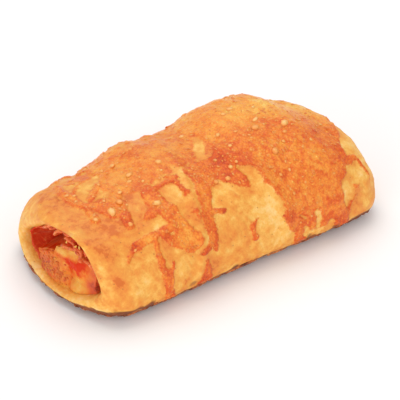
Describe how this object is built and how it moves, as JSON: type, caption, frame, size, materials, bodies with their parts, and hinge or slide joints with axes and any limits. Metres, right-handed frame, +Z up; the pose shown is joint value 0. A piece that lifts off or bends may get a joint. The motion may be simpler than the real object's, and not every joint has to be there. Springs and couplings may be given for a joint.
{
  "type": "filled pastry roll",
  "caption": "Baked dough roll, open at both ends, wound round folded ham and melted cheese, with browned grated cheese baked over its top and running down its sides.",
  "frame": {"origin": "centre of the underside, on the surface the roll rests on", "axes": "+X along the roll towards its narrower, far end, with the wider open end of the picture at -X; -Y is the side that faces the camera; +Z up"},
  "size_m": [0.1546, 0.088, 0.0476],
  "materials": {
    "crust": "baked golden dough with browned cheese, slightly glossy",
    "ham": "cooked ham, moist",
    "cheese": "melted cheese, browned where it shows"
  },
  "bodies": {
    "root": {"pastry": "crust", "ham": "ham", "cheese_filling": "cheese"}
  },
  "joints": []
}
